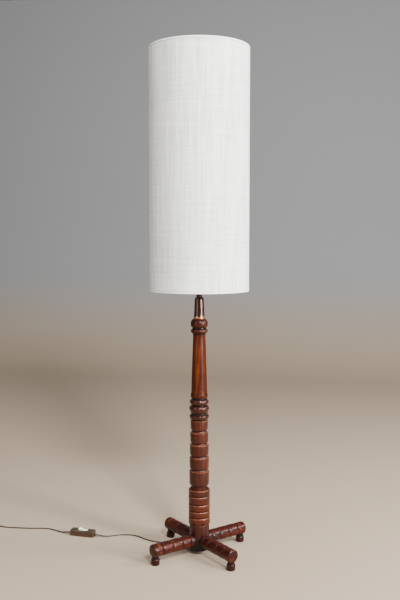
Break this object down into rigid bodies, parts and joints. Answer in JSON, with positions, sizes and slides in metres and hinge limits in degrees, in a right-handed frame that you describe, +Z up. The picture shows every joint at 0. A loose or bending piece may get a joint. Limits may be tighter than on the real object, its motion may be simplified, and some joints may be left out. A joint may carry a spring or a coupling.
{
  "type": "floor lamp",
  "caption": "Candlestick floor lamp with a ringed and tapered turned-wood post on a low cross of turned legs, a tall drum shade and a flat cord with a rocker switch.",
  "frame": {"origin": "on the floor, on the post's axis", "axes": "+Z up along the post; the legs lie on the diagonals of X and Y; the cord leaves towards -X"},
  "size_m": [0.9828, 0.3092, 1.5761],
  "materials": {
    "dark_wood": "gloss varnish on turned wood",
    "leg_wood": "gloss varnish on turned wood",
    "steel": "bright zinc plate",
    "brass": "plain",
    "bronze": "dark bronzed copper, satin",
    "black_plastic": "moulded, satin",
    "white_ceramic": "glazed",
    "opal_glass": "opal",
    "bulb_metal": "plain",
    "raw_silk": "off-white slubbed silk",
    "liner": "translucent white styrene",
    "white_wire": "white powder coat",
    "cord_gold": "clear gold-brown vinyl",
    "switch_brown": "moulded gold-brown",
    "cream_plastic": "moulded cream"
  },
  "bodies": {
    "stand": {"lower_column": "dark_wood", "upper_column": "dark_wood", "leg_front_left": "leg_wood", "leg_front_right": "leg_wood", "leg_back_left": "leg_wood", "leg_back_right": "leg_wood", "foot_front_left": "leg_wood", "foot_front_right": "leg_wood", "foot_back_left": "leg_wood", "foot_back_right": "leg_wood", "threaded_tube": "steel", "base_washer": "steel", "base_nut": "brass", "cord_bush": "black_plastic", "ferrule": "bronze", "neck_sleeve": "bronze", "lock_nut": "brass", "holder_cap": "black_plastic", "holder_skirt": "black_plastic", "holder_insert": "white_ceramic", "screw_shell": "brass", "centre_contact": "brass", "terminal_screws": "steel", "inner_cord": "cord_gold", "cord_to_switch": "cord_gold", "switch_base": "switch_brown", "switch_cover": "switch_brown", "rocker_pin": "steel", "switch_contacts": "brass", "switch_screws": "steel", "cord_to_coil": "cord_gold", "cord_coil": "cord_gold", "coil_tie": "black_plastic", "cord_to_plug": "cord_gold", "plug_body": "cord_gold", "plug_pins": "steel"},
    "shade": {"shade_cloth": "raw_silk", "shade_liner": "liner", "shade_top_ring": "white_wire", "shade_carrier": "white_wire"},
    "clamp_ring": {"shade_ring": "black_plastic"},
    "bulb_rise": {"bulb_tip": "bulb_metal"},
    "bulb": {"bulb_glass": "opal_glass", "bulb_cap": "bulb_metal", "bulb_insulator": "black_plastic"},
    "rocker": {"switch_rocker": "cream_plastic"}
  },
  "joints": [
    {"name": "shade_turn", "type": "hinge", "parent": "stand", "child": "shade", "pos_m": [0, 0, 0.88], "axis": [0, 0, 1], "continuous": true},
    {"name": "clamp_ring_turn", "type": "hinge", "parent": "stand", "child": "clamp_ring", "pos_m": [0, 0, 0.888], "axis": [0, 0, 1], "continuous": true},
    {"name": "bulb_climb", "type": "slide", "parent": "stand", "child": "bulb_rise", "axis": [0, 0, 1], "range_m": [0, 0.011]},
    {"name": "bulb_unscrew", "type": "hinge", "parent": "bulb_rise", "child": "bulb", "pos_m": [0, 0, 0.9], "axis": [0, 0, 1], "range_deg": [0, 1080]},
    {"name": "switch_rock", "type": "hinge", "parent": "stand", "child": "rocker", "pos_m": [-0.411, 0.079, 0.0173], "axis": [0.1045, 0.9945, 0], "range_deg": [-16, 0]}
  ],
  "couplings": [
    {"joint": "bulb_climb", "follows": "bulb_unscrew", "m_per_rad": 0.00057757}
  ]
}
